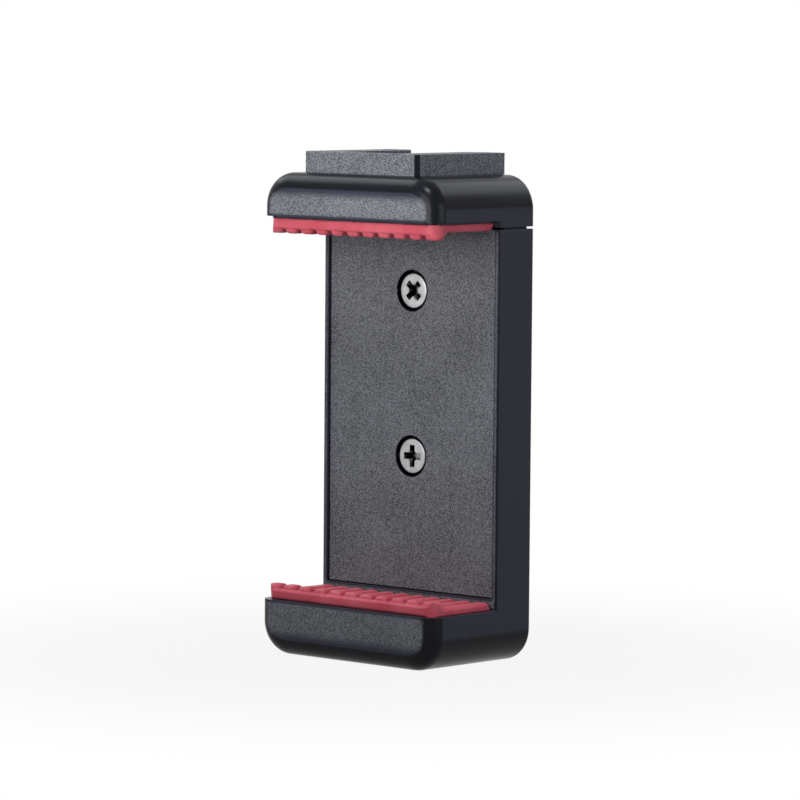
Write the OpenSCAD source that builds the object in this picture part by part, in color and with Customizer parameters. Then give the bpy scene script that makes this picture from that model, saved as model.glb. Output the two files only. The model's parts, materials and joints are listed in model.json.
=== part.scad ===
// Tripod phone clamp with a sprung upper jaw and an accessory shoe on top.
// The origin is at the middle of the base, X to the right, Y to the back, Z up, in millimetres.
// The fixed half is the housing with the lower jaw. The moving half is the upper jaw,
// which hangs on a forked tongue that slides in the housing against two extension springs.

/* [Clamp] */
// Width across the housing and both jaws
body_w = 41; // [36:0.5:50]
// Depth of the housing from its front rim to its back
housing_d = 9.15; // [8.6:0.05:12]
// Reach of the jaws in front of the housing
jaw_reach = 16.25; // [15:0.25:24]
// Height of the lower jaw
lower_jaw_h = 9.5; // [9:0.25:14]
// Height of the upper jaw without the shoe
upper_jaw_h = 7.6; // [7.2:0.1:11]
// Height of the housing's top above the base
housing_h = 74.7; // [72:0.1:98]
// How far the upper jaw can be pulled up
travel = 28; // [15:0.5:28]
// Gap in the seam between the housing and the upper jaw
seam_gap = 0.4; // [0.2:0.05:0.8]
// How far the back of the upper jaw hangs below its gripping face
leg_drop = 1.1; // [0.6:0.1:2]

/* [Edges] */
// Radius of the outline's corners, seen from the front
corner_r = 5.8; // [4:0.1:7]
// Radius of the soft edge round the front of the jaws
edge_r = 2.8; // [2:0.1:3.8]
// Radius of the edge round the back
back_edge_r = 0.8; // [0.3:0.1:1.5]
// Radius of the housing's front rim
rim_r = 0.3; // [0.1:0.05:0.45]

/* [Walls] */
// Thickness of the moulded outer walls
wall = 1.8; // [1.4:0.1:2.2]
// Width of the rim that frames the front cover
rim_w = 1; // [0.8:0.1:1.2]
// Height of the rim below the front cover
rim_below = 2.05; // [1.5:0.05:4]
// Width of the ledge that the front cover rests on
ledge = 0.8; // [0.6:0.1:1]
// Thickness of the upper jaw's top where the shoe is sunk into it
ceiling = 1.2; // [1:0.1:1.5]
// Width of the rim inside the seam, which closes it to light and dust
seam_rim_w = 0.8; // [0.6:0.05:0.9]
// Height of that rim above the housing's top
seam_rim_h = 1; // [0.9:0.1:1.2]

/* [Front cover] */
// Thickness of the front cover
cover_t = 1.8; // [1.4:0.1:2]
// How far the cover lies behind the rim
cover_recess = 0.5; // [0.3:0.05:0.8]
// Gap round the cover
cover_gap = 0.15; // [0.1:0.05:0.3]
// Distance of the upper cover screw below the housing's top
cover_screw_drop = 11.25; // [9:0.05:13]
// Distance between the two cover screws
cover_screw_pitch = 28.75; // [20:0.25:30]
// Diameter of the holes that the screw heads sink into
head_hole_d = 7.2; // [6.8:0.1:7.6]
// Depth of those holes
head_hole_depth = 2.3; // [2.2:0.1:2.5]
// Thickness of the cup's floor under each screw head
cup_floor = 1; // [0.8:0.1:1.2]
// Wall of the cup round each screw head
cup_wall = 1.1; // [0.8:0.1:1.4]
// Diameter of the housing's two screw bosses
boss_d = 7.5; // [6:0.1:8]

/* [Cover screws] */
// Diameter of the head
cover_head_d = 6.1; // [5.4:0.1:6.4]
// Height of the head
cover_head_h = 2; // [1.6:0.1:2.1]
// Diameter of the shank
cover_shank_d = 2.9; // [2.5:0.1:3]
// Length of the shank below the head
cover_shank_l = 5.2; // [4:0.1:5.3]

/* [Small screws] */
// Diameter of the countersunk heads
small_head_d = 4.4; // [4:0.1:4.8]
// Diameter of the shanks
small_shank_d = 2.2; // [2:0.1:2.4]
// Length of the screws under both gripping plates
plate_screw_l = 5.8; // [5:0.1:6]
// Length of the screws under the shoe
shoe_screw_l = 4.8; // [4:0.1:5]
// Diameter of the bosses round the shanks
small_boss_d = 5.2; // [4.6:0.1:5.6]
// Distance of the plate screws from the jaw's sides
plate_screw_side = 7; // [6.4:0.1:7.2]
// Distance of the plate screws behind the jaw's front
plate_screw_y = 8.2; // [7:0.1:9]
// Distance of the front shoe screw behind the jaw's front
shoe_screw_y = 11.2; // [10.5:0.1:13]
// Distance between the two shoe screws
shoe_screw_pitch = 9; // [7:0.5:9]

/* [Gripping plates] */
// Margin between a jaw's outline and its plate and pad
plate_inset = 1; // [0.8:0.1:1.3]
// Thickness of the upper plate
upper_plate_t = 2; // [1.8:0.1:2.2]
// How far the upper plate stands out of the jaw
plate_proud = 0.35; // [0.2:0.05:0.5]
// Thickness of the lower plate
lower_plate_t = 1.7; // [1.6:0.1:2]
// Gap round a part that is set into another
fit_gap = 0.1; // [0.05:0.05:0.15]

/* [Slide] */
// Gap between the tongue and the housing
slide_gap = 0.3; // [0.2:0.05:0.35]
// Width of the two ribs that stop the tongue
stop_rib_w = 1.3; // [1:0.1:1.6]
// Height of the stop ribs
stop_rib_h = 6.6; // [5:0.1:9]
// Width of the rails along the tongue's edges
rail_w = 2; // [1.6:0.1:2.2]
// Depth of the recess between the rails
recess_d = 1.4; // [1:0.1:1.8]
// Height of the bridge that is left above the recesses
bridge_h = 6; // [5:0.5:10]

/* [Springs] */
// Outer diameter of the coils
spring_d = 4; // [3.4:0.1:4]
// Diameter of the wire
wire_d = 0.6; // [0.4:0.05:0.65]
// Length between the two posts at rest
spring_l = 28.6; // [24:0.1:28.6]
// Number of whole turns in the coil
spring_turns = 17; // [12:1:19]
// Distance of the springs from the housing's sides
spring_side = 8.9; // [8.5:0.1:9.2]
// Diameter of the posts that hold the hooks
post_d = 1.8; // [1.5:0.1:2]
// Height of the lower posts above the cavity's floor
post_rise = 2.6; // [2.4:0.1:3]

/* [Tripod nut] */
// Bore of the nut, cut with a quarter inch thread
nut_bore_d = 5.1; // [5:0.05:5.5]
// Width across the flats of the hexagon
nut_af = 11.1; // [10:0.1:11.5]
// Diameter of the round collar in the base
nut_collar_d = 9; // [8:0.1:9.5]
// Thickness of the jaw's floor under the hexagon
nut_floor = 2; // [1.8:0.1:2.2]
// How far the collar lies inside the base
collar_recess = 0.3; // [0.2:0.1:0.6]
// Distance of the nut behind the jaw's front
nut_y = 8.2; // [7.8:0.1:8.6]

/* [Pads] */
// Gap between a pad's back edge and the housing
pad_gap = 0.3; // [0.2:0.05:1]
// Thickness of the sheet under the ribs
pad_sheet = 0.55; // [0.4:0.05:0.8]
// Height of the ribs above the plate
rib_h = 1.35; // [1:0.05:1.6]
// Width of a rib
rib_w = 2.3; // [1.8:0.1:2.6]
// Number of ribs and knobs across a pad
rib_count = 11; // [7:1:11]
// Depth of the raised lip along the front
lip_d = 3.3; // [3:0.1:5]
// Depth of a knob
knob_d = 2.9; // [2:0.1:3.2]
// Height of the lip between its knobs
lip_h = 1.8; // [1.5:0.05:2.4]
// Height of a knob above the lip
knob_h = 0.85; // [0.5:0.05:1.2]
// Width of a knob
knob_w = 2.8; // [2.4:0.1:3]
// Radius of a knob's edges
knob_r = 0.6; // [0.3:0.05:0.8]

/* [Shoe] */
// Width of the shoe
shoe_w = 26.8; // [25:0.1:27]
// Height of the shoe above the jaw
shoe_h = 3.7; // [3.5:0.1:4.5]
// Distance of the shoe's front behind the jaw's front
shoe_setback = 3.2; // [3:0.1:5]
// Inner width of the slot, for a foot 18.6 wide
slot_w = 19; // [18.8:0.1:19.4]
// Height of the slot under the lips
slot_h = 2.2; // [2.1:0.1:2.4]
// Thickness of the slot's lips
lip_t = 1.4; // [1.2:0.1:1.5]
// Width of the opening between the lips
slot_mouth_w = 12.6; // [12.2:0.1:13]
// Thickness of the wall that closes the slot's front
slot_stop = 2.4; // [1.6:0.1:3]
// Lead-in at the back ends of the lips
lead_in = 2.4; // [1:0.1:3]
// Chamfer of the shoe's upright front edges
shoe_chamfer = 0.7; // [0.3:0.1:1]
// Depth that the shoe's base is sunk into the jaw
shoe_sink = 1.6; // [1.5:0.1:1.8]
// Width of the sunk base
shoe_base_w = 20.6; // [20:0.1:22]
// Step from the block's front and back to the sunk base
shoe_base_step = 1.6; // [1.4:0.1:2]

/* [Hidden] */
$fn = 64;

// Room that a cut runs past the face it opens
over = 1;
// Gap between a shank and the hole that its thread has cut
thread_gap = 0.05;
// Gap that keeps two stops just apart at the end of the travel
stop_gap = 0.1;
// Gap under the tongue's feet at rest
foot_gap = 0.2;
// Material left behind a blind screw hole
blind_skin = 0.8;

// Heights of the main faces
leg_z = housing_h + seam_gap;
jaw_under_z = leg_z + leg_drop;
jaw_top_z = jaw_under_z + upper_jaw_h;
cover_z = lower_jaw_h + rim_below;
cavity_floor = cover_z + ledge;

// Depths of the main faces, with the origin in the middle of the whole depth
total_d = jaw_reach + housing_d;
front_y = -total_d / 2;
back_y = total_d / 2;
rim_y = front_y + jaw_reach;
cover_y = rim_y + cover_recess;
cover_back_y = cover_y + cover_t;
cavity_back_y = back_y - wall;
cup_floor_y = cover_y + head_hole_depth;
cup_back_y = cup_floor_y + cup_floor;

// Half widths
half_w = body_w / 2;
cavity_x = half_w - wall;
seat_x = half_w - rim_w;
stop_x = cavity_x - stop_rib_w;
neck_x = stop_x - slide_gap;
tongue_x = cavity_x - slide_gap;
plate_x = half_w - plate_inset;
plate_screw_x = half_w - plate_screw_side;
spring_x = half_w - spring_side;

// Cover screws
upper_screw_z = housing_h - cover_screw_drop;
screw_heights = [upper_screw_z - cover_screw_pitch, upper_screw_z];
cup_d = head_hole_d + 2 * cup_wall;
cover_pilot_d = cover_shank_d + 2 * thread_gap;

// Slide
tongue_front_y = cover_back_y + slide_gap;
tongue_back_y = cavity_back_y - slide_gap;
foot_z = cavity_floor + foot_gap;
stop_z = housing_h - stop_rib_h;
shoulder_z = stop_z - travel - stop_gap;
fork_x = cup_d / 2 + slide_gap;

// Springs
spring_y = (cover_back_y + cavity_back_y) / 2;
low_post_z = cavity_floor + post_rise;
high_post_z = low_post_z + spring_l;
coil_r = (spring_d - wire_d) / 2;
hook_r = (post_d + wire_d) / 2 + slide_gap;
spring_slot_x = spring_d / 2 + 2 * slide_gap;
hook_web_t = 0.8;

// Small screws
small_hole_d = small_shank_d + 2 * thread_gap;
small_head_h = (small_head_d - small_shank_d) / 2;
plate_screw_at = front_y + plate_screw_y;
shoe_screw_at = front_y + shoe_screw_y;
head_sink = 0.1;

// Plates
plate_y = front_y + plate_inset;
plate_r = edge_r - plate_inset;
upper_plate_z = jaw_under_z - plate_proud;
upper_plate_top = upper_plate_z + upper_plate_t;
lower_plate_z = lower_jaw_h - lower_plate_t;
jaw_cavity_z = lower_plate_z - fit_gap;
jaw_cavity_back_y = rim_y - wall;

// Shoe
shoe_y = front_y + shoe_setback;
shoe_top_z = jaw_top_z + shoe_h;
shoe_base_z = jaw_top_z - shoe_sink;
slot_floor_z = shoe_top_z - lip_t - slot_h;
ceiling_z = shoe_base_z - fit_gap - ceiling;
boss_end_z = upper_plate_top + slide_gap;

// Pad
pad_r = plate_r;
rib_pitch = (2 * plate_x - knob_w) / (rib_count - 1);
rib_r = 0.6;
lip_edge_r = 0.4;
rib_end_r = 0.7;
rib_inset = 0.4;
pad_back_r = 0.5;
// Height that the long edges' round cuts keep above the crests, so that the edges stay soft
crease = 0.08;
lip_back_y = plate_y + lip_d;
pad_back_y = rim_y - pad_gap;
rib_l = pad_back_y - lip_back_y - rib_inset;

// Extrudes a drawing whose second axis is Z, from y0 back to y1
module along_y(y0, y1) {
    translate([0, y1, 0]) rotate([90, 0, 0]) linear_extrude(y1 - y0) children();
}

// Extrudes a drawing whose axes are Y and Z, from x0 to x1
module along_x(x0, x1) {
    translate([x0, 0, 0]) rotate([90, 0, 90]) linear_extrude(x1 - x0) children();
}

// Draws its children on both sides of the middle
module both_sides() {
    for (side = [0, 1]) mirror([side, 0, 0]) children();
}

// What a square corner loses when it is rounded, with the arc's centre at the origin
module corner_cut(r) {
    difference() {
        square(r + over);
        circle(r);
    }
}

// Half of a plan outline: from the middle out to reach, with its two outer corners rounded
module edge_profile(reach, y0, y1, front_r, back_r) {
    difference() {
        translate([0, y0]) square([reach, y1 - y0]);
        outline_cuts(reach, y0, y1, front_r, back_r);
    }
}

// Whole plan outline, the same on both sides of the middle; a radius of 0 leaves a sharp corner
module plan_outline(reach, y0, y1, front_r, back_r) {
    difference() {
        translate([-reach, y0]) square([2 * reach, y1 - y0]);
        outline_cuts(reach, y0, y1, front_r, back_r);
        mirror([1, 0]) outline_cuts(reach, y0, y1, front_r, back_r);
    }
}

// Cuts that round the front and back corners at reach
module outline_cuts(reach, y0, y1, front_r, back_r) {
    if (front_r > 0)
        translate([reach - front_r, y0 + front_r]) mirror([0, 1]) corner_cut(front_r);
    if (back_r > 0) translate([reach - back_r, y1 - back_r]) corner_cut(back_r);
}

// A jaw as it stands on its round side: the outline's corners and the soft front edge
// roll into each other through a quarter of a ring at each corner
module jaw_block(h) {
    flat_x = half_w - corner_r;
    along_x(-flat_x, flat_x)
        translate([0, h]) rotate(-90) edge_profile(h, front_y, back_y, edge_r, back_edge_r);
    both_sides() translate([flat_x, 0, corner_r]) {
        linear_extrude(h - corner_r) edge_profile(corner_r, front_y, back_y, edge_r, back_edge_r);
        rotate([-90, 0, 0]) rotate_extrude(angle = 90)
            edge_profile(corner_r, front_y, back_y, edge_r, back_edge_r);
    }
}

// Tab with two rounded upper corners, standing on the drawing's first axis
module round_tab(w, h, r) {
    difference() {
        translate([-w / 2, 0]) square([w, h]);
        for (side = [0, 1]) mirror([side, 0]) translate([w / 2 - r, h - r]) corner_cut(r);
    }
}

// Bottom of a hollow with its two lower corners rounded
module round_trough(reach, z0, z1, r) {
    translate([0, z1]) mirror([0, 1]) round_tab(2 * reach, z1 - z0, r);
}

// Countersunk screw with its head up at z = 0 and a cross recess
module small_screw(shank_l) {
    cross_w = 0.55;
    cross_l = 2.2;
    cross_d = 0.9;
    difference() {
        union() {
            translate([0, 0, -small_head_h])
                cylinder(h = small_head_h, r1 = small_shank_d / 2, r2 = small_head_d / 2);
            translate([0, 0, -shank_l]) cylinder(h = shank_l, d = small_shank_d);
        }
        for (turn = [0, 90]) rotate(turn)
            translate([-cross_l / 2, -cross_w / 2, -cross_d]) cube([cross_l, cross_w, cross_d + over]);
    }
}

// Hole for a countersunk screw whose head lies just under z = 0, through a plate of thickness t
module small_screw_hole(t) {
    hole_gap = 2 * thread_gap;
    translate([0, 0, -t - over]) cylinder(h = t + 2 * over, d = small_hole_d + hole_gap);
    translate([0, 0, -small_head_h - head_sink]) cylinder(
        h = small_head_h + head_sink,
        r1 = small_shank_d / 2 + hole_gap, r2 = small_head_d / 2 + head_sink + hole_gap
    );
}

// Panhead screw along Y with its head's top at y = 0 and a cross recess
module cover_screw(cross_turn) {
    cross_w = 1.1;
    cross_l = 4.1;
    cross_d = 1.3;
    crown_r = 1;
    rotate([90, 0, 0]) difference() {
        union() {
            rotate_extrude() difference() {
                translate([0, -cover_head_h]) square([cover_head_d / 2, cover_head_h]);
                translate([cover_head_d / 2 - crown_r, -crown_r]) difference() {
                    square([crown_r + over, crown_r + over]);
                    circle(crown_r);
                }
            }
            translate([0, 0, -cover_head_h - cover_shank_l])
                cylinder(h = cover_shank_l + crown_r, d = cover_shank_d);
        }
        for (turn = [0, 90]) rotate(turn + cross_turn)
            translate([-cross_l / 2, -cross_w / 2, -cross_d]) cube([cross_l, cross_w, cross_d + over]);
    }
}

// Housing and lower jaw, one moulding
module body_shell() {
    color("dimgray") difference() {
        union() {
            difference() {
                union() {
                    jaw_block(lower_jaw_h);
                    translate([0, 0, lower_jaw_h]) linear_extrude(housing_h - lower_jaw_h)
                        plan_outline(half_w, rim_y, back_y, rim_r, back_edge_r);
                }
                housing_hollow();
                lower_jaw_hollow();
            }
            housing_bosses();
            stop_ribs();
            translate([0, 0, housing_h - over]) linear_extrude(over + seam_rim_h) difference() {
                seam_plan(seam_rim_w, 0);
                seam_plan(0, over);
            }
        }
        for (z = screw_heights) translate([0, back_y - blind_skin, z])
            rotate([90, 0, 0]) cylinder(h = housing_d, d = cover_pilot_d);
        lower_jaw_holes();
    }
}

// Plan of the housing's hollow behind the cover, grown at its sides and back, and at its front
module seam_plan(grow, front_grow) {
    reach = cavity_x + grow;
    translate([-reach, cover_back_y - front_grow])
        square([2 * reach, cavity_back_y + grow - cover_back_y + front_grow]);
}

// Hollow that the tongue and springs run in, with the seat of the front cover before it
module housing_hollow() {
    translate([-cavity_x, cover_y, cavity_floor])
        cube([2 * cavity_x, cavity_back_y - cover_y, housing_h]);
    translate([-seat_x, rim_y - over, cover_z - cover_gap])
        cube([2 * seat_x, cover_back_y - rim_y + over, housing_h]);
}

// Hollow of the lower jaw, open upwards under its plate
module lower_jaw_hollow() {
    difference() {
        along_y(front_y + wall, jaw_cavity_back_y)
            round_trough(cavity_x, wall, jaw_cavity_z, corner_r - wall);
        nut_block_x = nut_af / 2 / cos(30) + wall;
        translate([-nut_block_x, front_y, 0]) cube([2 * nut_block_x, jaw_reach, lower_jaw_h]);
        both_sides() translate([plate_screw_x, plate_screw_at, 0])
            cylinder(h = lower_jaw_h, d = small_boss_d);
    }
    translate([0, 0, jaw_cavity_z]) linear_extrude(lower_jaw_h) plan_outline(
        plate_x + fit_gap, plate_y - fit_gap, rim_y, plate_r + fit_gap, plate_r
    );
}

// Pocket and mouth of the tripod nut, and the holes of the two plate screws
module lower_jaw_holes() {
    translate([0, front_y + nut_y, nut_floor - fit_gap])
        cylinder(h = lower_jaw_h, r = (nut_af / 2 + fit_gap) / cos(30), $fn = 6);
    translate([0, front_y + nut_y, -over])
        cylinder(h = lower_jaw_h, d = nut_collar_d + 2 * fit_gap);
    both_sides() translate([plate_screw_x, plate_screw_at, wall])
        cylinder(h = lower_jaw_h, d = small_hole_d);
}

// Bosses that the cover is screwed to and posts that hold the springs' lower hooks
module housing_bosses() {
    for (z = screw_heights) translate([0, cavity_back_y + wall / 2, z]) rotate([90, 0, 0])
        cylinder(h = cavity_back_y + wall / 2 - cup_back_y, d = boss_d);
    both_sides() translate([spring_x, cavity_back_y + wall / 2, low_post_z]) rotate([90, 0, 0])
        cylinder(h = cavity_back_y + wall / 2 - tongue_front_y, d = post_d);
}

// Ribs at the top of the housing that the tongue's shoulders meet at full travel
module stop_ribs() {
    both_sides() translate([stop_x, cover_back_y, stop_z])
        cube([stop_rib_w + wall / 2, cavity_back_y - cover_back_y + wall / 2, stop_rib_h]);
}

// Flat cover with two cups that the screw heads sink into
module front_cover() {
    cover_x = seat_x - cover_gap;
    color("dimgray") difference() {
        union() {
            translate([-cover_x, cover_y, cover_z]) cube([2 * cover_x, cover_t, housing_h - cover_z]);
            for (z = screw_heights) translate([0, cup_back_y, z])
                rotate([90, 0, 0]) cylinder(h = cup_back_y - cover_y - cover_t / 2, d = cup_d);
        }
        for (z = screw_heights) translate([0, cup_floor_y, z]) rotate([90, 0, 0]) {
            cylinder(h = head_hole_depth + over, d = head_hole_d);
            translate([0, 0, -cup_floor - over])
                cylinder(h = cup_floor + 2 * over, d = cover_pilot_d + 2 * fit_gap);
        }
    }
}

// Upper screw of the front cover, its cross turned to an X
module cover_screw_upper() {
    color("silver") translate([0, cup_floor_y - cover_head_h, screw_heights[1]]) cover_screw(45);
}

// Lower screw of the front cover, its cross upright
module cover_screw_lower() {
    color("silver") translate([0, cup_floor_y - cover_head_h, screw_heights[0]]) cover_screw(0);
}

// Plate that closes the lower jaw and keeps the nut in
module lower_jaw_plate() {
    color("dimgray") difference() {
        translate([0, 0, lower_plate_z]) linear_extrude(lower_plate_t)
            plan_outline(plate_x, plate_y, rim_y - fit_gap, plate_r, plate_r - fit_gap);
        both_sides() translate([plate_screw_x, plate_screw_at, lower_jaw_h])
            small_screw_hole(lower_plate_t);
    }
}

// One screw of the lower plate, on the side that side gives, -1 or 1
module lower_plate_screw(side) {
    color("silver") translate([side * plate_screw_x, plate_screw_at, lower_jaw_h - head_sink])
        small_screw(plate_screw_l);
}

// Brass nut for the tripod's screw: a hexagon with a round collar that shows in the base
module tripod_nut() {
    mouth = 0.6;
    color("goldenrod") translate([0, front_y + nut_y, 0]) difference() {
        union() {
            translate([0, 0, nut_floor])
                cylinder(h = jaw_cavity_z - nut_floor, r = nut_af / 2 / cos(30), $fn = 6);
            translate([0, 0, collar_recess]) cylinder(h = nut_floor, d = nut_collar_d);
        }
        cylinder(h = lower_jaw_h, d = nut_bore_d);
        translate([0, 0, collar_recess])
            cylinder(h = mouth, r1 = nut_bore_d / 2 + mouth, r2 = nut_bore_d / 2);
    }
}

// Row of round-topped tabs across a pad
module tab_row(w, h, r) {
    for (i = [0 : rib_count - 1])
        translate([(i - (rib_count - 1) / 2) * rib_pitch, 0]) round_tab(w, h, r);
}

// Rubber pad lying on z = 0 with its gripping side up: a knobbed front lip and a ribbed sheet
module pad() {
    knob_top = lip_h + knob_h;
    intersection() {
        linear_extrude(knob_top + over) plan_outline(plate_x, plate_y, lip_back_y, pad_r, 0);
        along_y(plate_y - over, lip_back_y) {
            translate([-half_w, 0]) square([body_w, lip_h]);
            tab_row(knob_w, knob_top, knob_r);
        }
        along_x(-half_w, half_w) {
            translate([(plate_y + lip_back_y) / 2, 0]) round_tab(lip_d, lip_h + crease, lip_edge_r);
            translate([plate_y + knob_d / 2, 0]) round_tab(knob_d, knob_top + crease, knob_r);
        }
    }
    intersection() {
        linear_extrude(rib_h + over) plan_outline(plate_x, lip_back_y, pad_back_y, 0, pad_back_r);
        along_y(lip_back_y, pad_back_y + over) {
            translate([-half_w, 0]) square([body_w, pad_sheet]);
            tab_row(rib_w, rib_h, rib_r);
        }
        along_x(-half_w, half_w) {
            translate([front_y, 0]) square([total_d, pad_sheet]);
            translate([lip_back_y, 0]) round_tab(2 * rib_l, rib_h + crease, rib_end_r);
        }
    }
}

// Pad of the lower jaw
module lower_pad() {
    color("indianred") translate([0, 0, lower_jaw_h]) pad();
}

// Pad of the upper jaw, the same moulding upside down
module upper_pad() {
    color("indianred") translate([0, 0, upper_plate_z]) mirror([0, 0, 1]) pad();
}

// Hook of a spring: most of a ring round its post, which ends on top of the post
hook_turn = 320;
hook_end = 90;
hook_steps = 14;
// Curve from the hook to the first coil: its height, and how far its ends run straight on
coil_rise = 0.7;
hook_pull = 0.7;
coil_pull = 0.5;
curve_steps = 5;
// Coil: where it starts, and the part of a turn that it lacks so that both hooks face one way
coil_start = 225;
turn_lack = 0.25;
coil_steps = 12;
function ring_point(a) = [hook_r * cos(a), 0, hook_r * sin(a)];
function coil_point(a, z) = [coil_r * cos(a), coil_r * sin(a), z];
function bezier(p, t) = pow(1 - t, 3) * p[0] + 3 * pow(1 - t, 2) * t * p[1]
    + 3 * (1 - t) * pow(t, 2) * p[2] + pow(t, 3) * p[3];
coil_z = hook_r + coil_rise;
coil_tangent = [-sin(coil_start), cos(coil_start), 0];
curve_points = [
    ring_point(hook_end), ring_point(hook_end) - [coil_r * hook_pull, 0, 0],
    coil_point(coil_start, coil_z) - coil_tangent * coil_r * coil_pull - [0, 0, coil_rise / 4],
    coil_point(coil_start, coil_z)
];
hook_path = concat(
    [for (i = [0 : hook_steps]) ring_point(hook_end - hook_turn * (1 - i / hook_steps))],
    [for (i = [1 : curve_steps - 1]) bezier(curve_points, i / curve_steps)]
);
coil_count = round((spring_turns - turn_lack) * coil_steps);
coil_angle = (spring_turns - turn_lack) * 360;
coil_path = [for (i = [0 : coil_count]) coil_point(
    coil_start + coil_angle * i / coil_count,
    coil_z + (spring_l - 2 * coil_z) * i / coil_count
)];
upper_hook_path = [for (i = [len(hook_path) - 1 : -1 : 0])
    [hook_path[i][0], -hook_path[i][1], spring_l - hook_path[i][2]]];
spring_path = concat(hook_path, coil_path, upper_hook_path);

// Directions along the wire, and a side direction carried from each ring of points to the next
function unit(v) = v / norm(v);
path_end = len(spring_path) - 1;
wire_dirs = [for (i = [0 : path_end])
    unit(spring_path[min(i + 1, path_end)] - spring_path[max(i - 1, 0)])];
function carried(side, dir) = unit(side - (side * dir) * dir);
wire_sides = [for (i = 0, side = [0, 1, 0]; i <= path_end;
    side = carried(side, wire_dirs[min(i + 1, path_end)]), i = i + 1) side];

// Extension spring standing on its lower post's centre
module spring() {
    ring = 6;
    points = [for (i = [0 : path_end]) for (k = [0 : ring - 1])
        let (a = 360 * k / ring, side = wire_sides[i], other = cross(wire_dirs[i], side))
        spring_path[i] + wire_d / 2 * (cos(a) * side + sin(a) * other)];
    walls = [for (i = [0 : path_end - 1]) for (k = [0 : ring - 1]) for (half = [0, 1])
        let (a = i * ring + k, b = i * ring + (k + 1) % ring)
        half == 0 ? [a, a + ring, b + ring] : [a, b + ring, b]];
    ends = [[for (k = [0 : ring - 1]) k], [for (k = [ring - 1 : -1 : 0]) path_end * ring + k]];
    polyhedron(points, concat(walls, ends), convexity = 10);
}

// One spring on its post, on the side that side gives, -1 or 1
module spring_at(side) {
    color("lightgray") translate([side * spring_x, spring_y, low_post_z]) spring();
}

// Cap of the upper jaw, hollow from below
module upper_jaw() {
    color("dimgray") difference() {
        union() {
            difference() {
                union() {
                    translate([0, 0, jaw_top_z]) mirror([0, 0, 1]) jaw_block(upper_jaw_h);
                    translate([0, 0, leg_z]) linear_extrude(leg_drop)
                        plan_outline(half_w, rim_y, back_y, rim_r, back_edge_r);
                }
                along_y(front_y + wall, cavity_back_y) translate([0, leg_z - over])
                    round_tab(2 * cavity_x, ceiling_z - leg_z + over, corner_r - wall);
                translate([-cavity_x, rim_y - over, leg_z - over])
                    cube([2 * cavity_x, wall + over, leg_drop + 2 * over]);
                translate([0, 0, leg_z - over]) linear_extrude(over + seam_rim_h - seam_gap + slide_gap)
                    seam_plan(seam_rim_w + fit_gap * 2, fit_gap * 2);
                translate([0, 0, leg_z]) linear_extrude(upper_plate_top + fit_gap - leg_z)
                    plan_outline(plate_x + fit_gap, plate_y - fit_gap, rim_y, plate_r + fit_gap, rim_r);
            }
            jaw_bosses();
        }
        shoe_pocket();
        both_sides() translate([plate_screw_x, plate_screw_at, upper_plate_z])
            cylinder(h = jaw_top_z - ceiling - upper_plate_z, d = small_hole_d);
        for (y = [0, shoe_screw_pitch]) translate([0, shoe_screw_at + y, leg_z])
            cylinder(h = jaw_top_z - leg_z, d = small_hole_d);
    }
}

// Bosses that hang from the jaw's ceiling round the screws of the plate and the shoe
module jaw_bosses() {
    both_sides() translate([plate_screw_x, plate_screw_at, upper_plate_top + fit_gap])
        cylinder(h = ceiling_z + ceiling / 2 - upper_plate_top - fit_gap, d = small_boss_d);
    for (y = [0, shoe_screw_pitch]) translate([0, shoe_screw_at + y, boss_end_z])
        cylinder(h = ceiling_z + ceiling / 2 - boss_end_z, d = small_boss_d);
}

// Pocket in the jaw's top for the base of the shoe
module shoe_pocket() {
    pocket_y = shoe_y + shoe_base_step - fit_gap;
    translate([-shoe_base_w / 2 - fit_gap, pocket_y, shoe_base_z - fit_gap])
        cube([
            shoe_base_w + 2 * fit_gap,
            back_y - shoe_base_step + fit_gap - pocket_y,
            shoe_sink + fit_gap + over
        ]);
}

// Forked slide with the upper gripping plate, one moulding bent like an L
module slide_tongue() {
    color("dimgray") difference() {
        union() {
            translate([0, 0, upper_plate_z]) linear_extrude(upper_plate_t)
                plan_outline(plate_x, plate_y, rim_y - fit_gap, plate_r, rim_r);
            translate([-cavity_x + slide_gap, rim_y - over, leg_z])
                cube([2 * tongue_x, tongue_back_y - rim_y + over, upper_plate_top - leg_z]);
            translate([-neck_x, tongue_front_y, foot_z])
                cube([2 * neck_x, tongue_back_y - tongue_front_y, upper_plate_top - foot_z]);
            translate([-tongue_x, tongue_front_y, foot_z])
                cube([2 * tongue_x, tongue_back_y - tongue_front_y, shoulder_z - foot_z]);
        }
        translate([-plate_x, front_y, leg_z - over])
            cube([2 * plate_x, jaw_reach, upper_plate_z - leg_z + over]);
        fork_slot();
        both_sides() spring_slot();
        both_sides() rail_recess();
        both_sides() translate([plate_screw_x, plate_screw_at, upper_plate_z])
            mirror([0, 0, 1]) small_screw_hole(upper_plate_t);
    }
    color("dimgray") both_sides() hook_post();
}

// Slot that straddles the two screw bosses
module fork_slot() {
    along_y(tongue_front_y - over, tongue_back_y + over) {
        translate([-fork_x, foot_z - over]) square([2 * fork_x, upper_screw_z - foot_z + over]);
        translate([0, upper_screw_z]) circle(fork_x);
    }
}

// Slot that one spring runs in, with a thin web behind its upper hook
module spring_slot() {
    web_z = high_post_z - hook_r - coil_rise + wire_d / 2 + slide_gap;
    translate([spring_x, 0, 0]) {
        along_y(tongue_front_y - over, tongue_back_y - hook_web_t) {
            translate([-spring_slot_x, foot_z - over])
                square([2 * spring_slot_x, high_post_z - foot_z + over]);
            translate([0, high_post_z]) circle(spring_slot_x);
        }
        along_y(tongue_back_y - hook_web_t - over, tongue_back_y + over)
            translate([-spring_slot_x, foot_z - over])
                square([2 * spring_slot_x, web_z - foot_z + over]);
    }
}

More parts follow.
